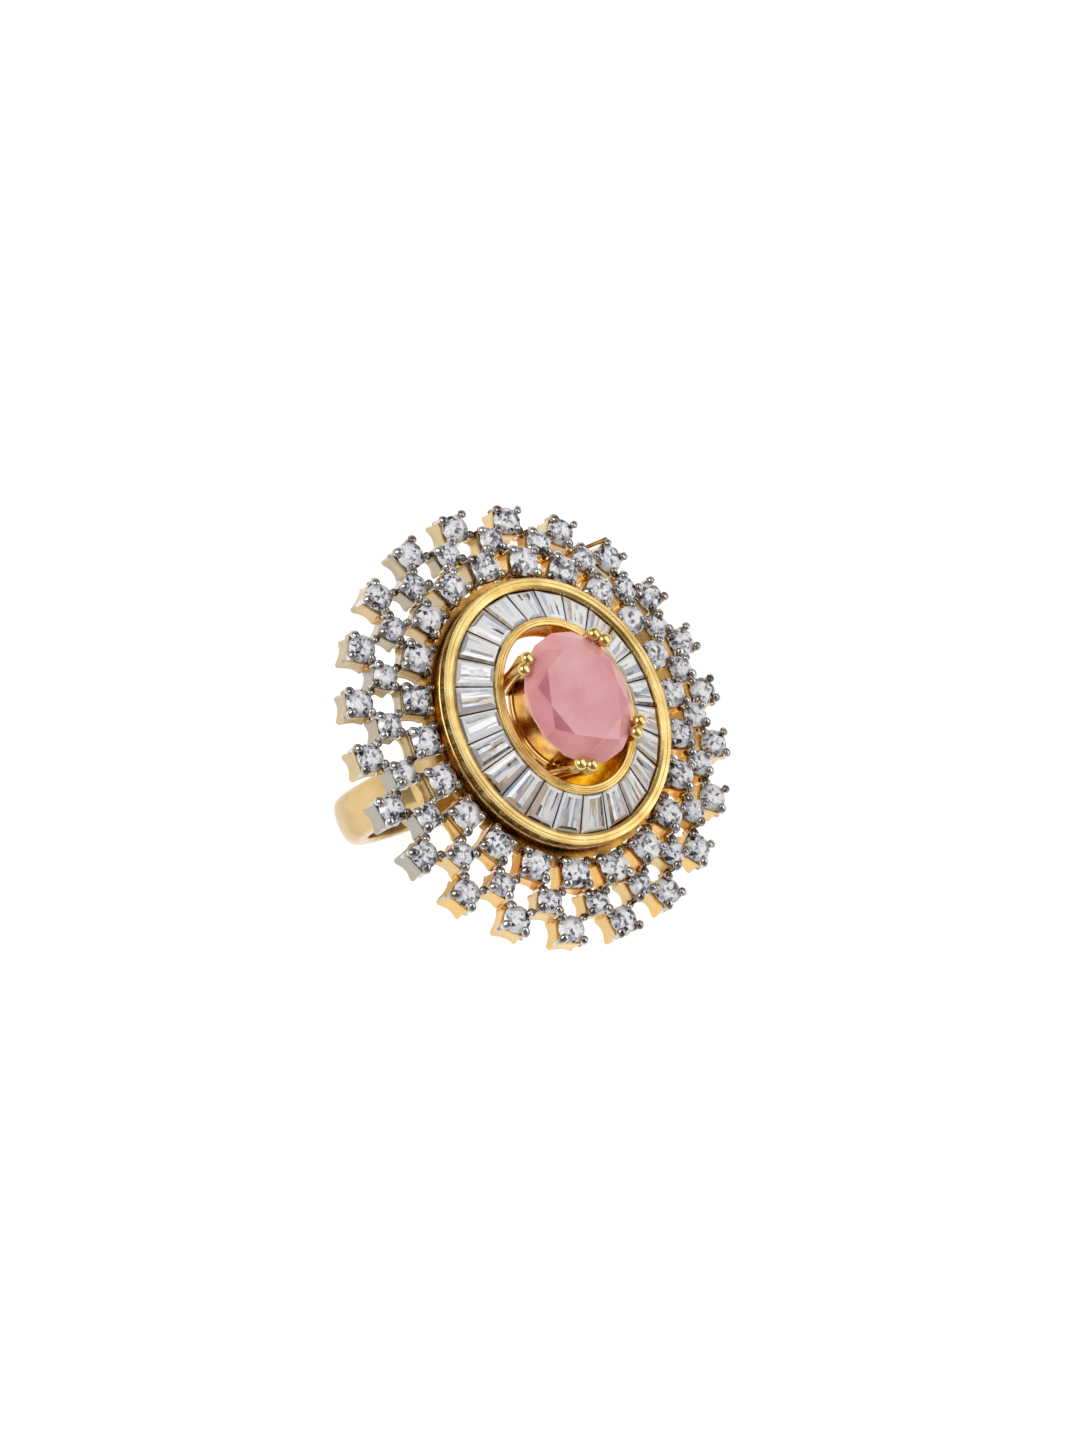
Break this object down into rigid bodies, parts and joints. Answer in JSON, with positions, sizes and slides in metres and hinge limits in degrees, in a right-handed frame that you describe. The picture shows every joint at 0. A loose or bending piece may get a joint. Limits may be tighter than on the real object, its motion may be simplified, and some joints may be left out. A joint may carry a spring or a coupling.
{
  "type": "cocktail ring",
  "caption": "Finger ring with a raised oval stone in a claw basket, a channel of tapered baguettes and a stepped openwork halo of claw-set round stones on a plain band.",
  "frame": {"origin": "centre of the finger bore", "axes": "+Y along the finger and the head's long axis, +Z from the bore up through the centre stone, +X across the finger"},
  "size_m": [0.0298, 0.0336, 0.0328],
  "materials": {
    "yellow_gold": "polished yellow gold plating",
    "rhodium": "polished rhodium plating",
    "clear_stone": "faceted colourless stone",
    "rose_stone": "milky rose stone with polished facets"
  },
  "bodies": {
    "root": {"shank": "yellow_gold", "shoulder_left": "yellow_gold", "shoulder_right": "yellow_gold", "gallery_base": "yellow_gold", "gallery_posts": "yellow_gold", "outer_skirt": "yellow_gold", "outer_step": "yellow_gold", "outer_rail": "yellow_gold", "channel_seat": "yellow_gold", "inner_skirt": "yellow_gold", "inner_rail": "yellow_gold", "basket_band": "yellow_gold", "basket_wall": "yellow_gold", "well_floor": "yellow_gold", "centre_claw_1": "yellow_gold", "centre_claw_2": "yellow_gold", "centre_claw_3": "yellow_gold", "centre_claw_4": "yellow_gold", "collets_outer": "yellow_gold", "collets_middle": "yellow_gold", "collets_inner": "yellow_gold", "solder_outer": "yellow_gold", "solder_inner": "yellow_gold", "halo_links": "yellow_gold", "claws_outer": "rhodium", "claws_middle": "rhodium", "claws_inner": "rhodium", "stones_outer": "clear_stone", "stones_middle": "clear_stone", "stones_inner": "clear_stone", "baguette_01": "clear_stone", "baguette_02": "clear_stone", "baguette_03": "clear_stone", "baguette_04": "clear_stone", "baguette_05": "clear_stone", "baguette_06": "clear_stone", "baguette_07": "clear_stone", "baguette_08": "clear_stone", "baguette_09": "clear_stone", "baguette_10": "clear_stone", "baguette_11": "clear_stone", "baguette_12": "clear_stone", "baguette_13": "clear_stone", "baguette_14": "clear_stone", "baguette_15": "clear_stone", "baguette_16": "clear_stone", "baguette_17": "clear_stone", "baguette_18": "clear_stone", "baguette_19": "clear_stone", "baguette_20": "clear_stone", "baguette_21": "clear_stone", "baguette_22": "clear_stone", "baguette_23": "clear_stone", "baguette_24": "clear_stone", "centre_stone": "rose_stone"}
  },
  "joints": []
}
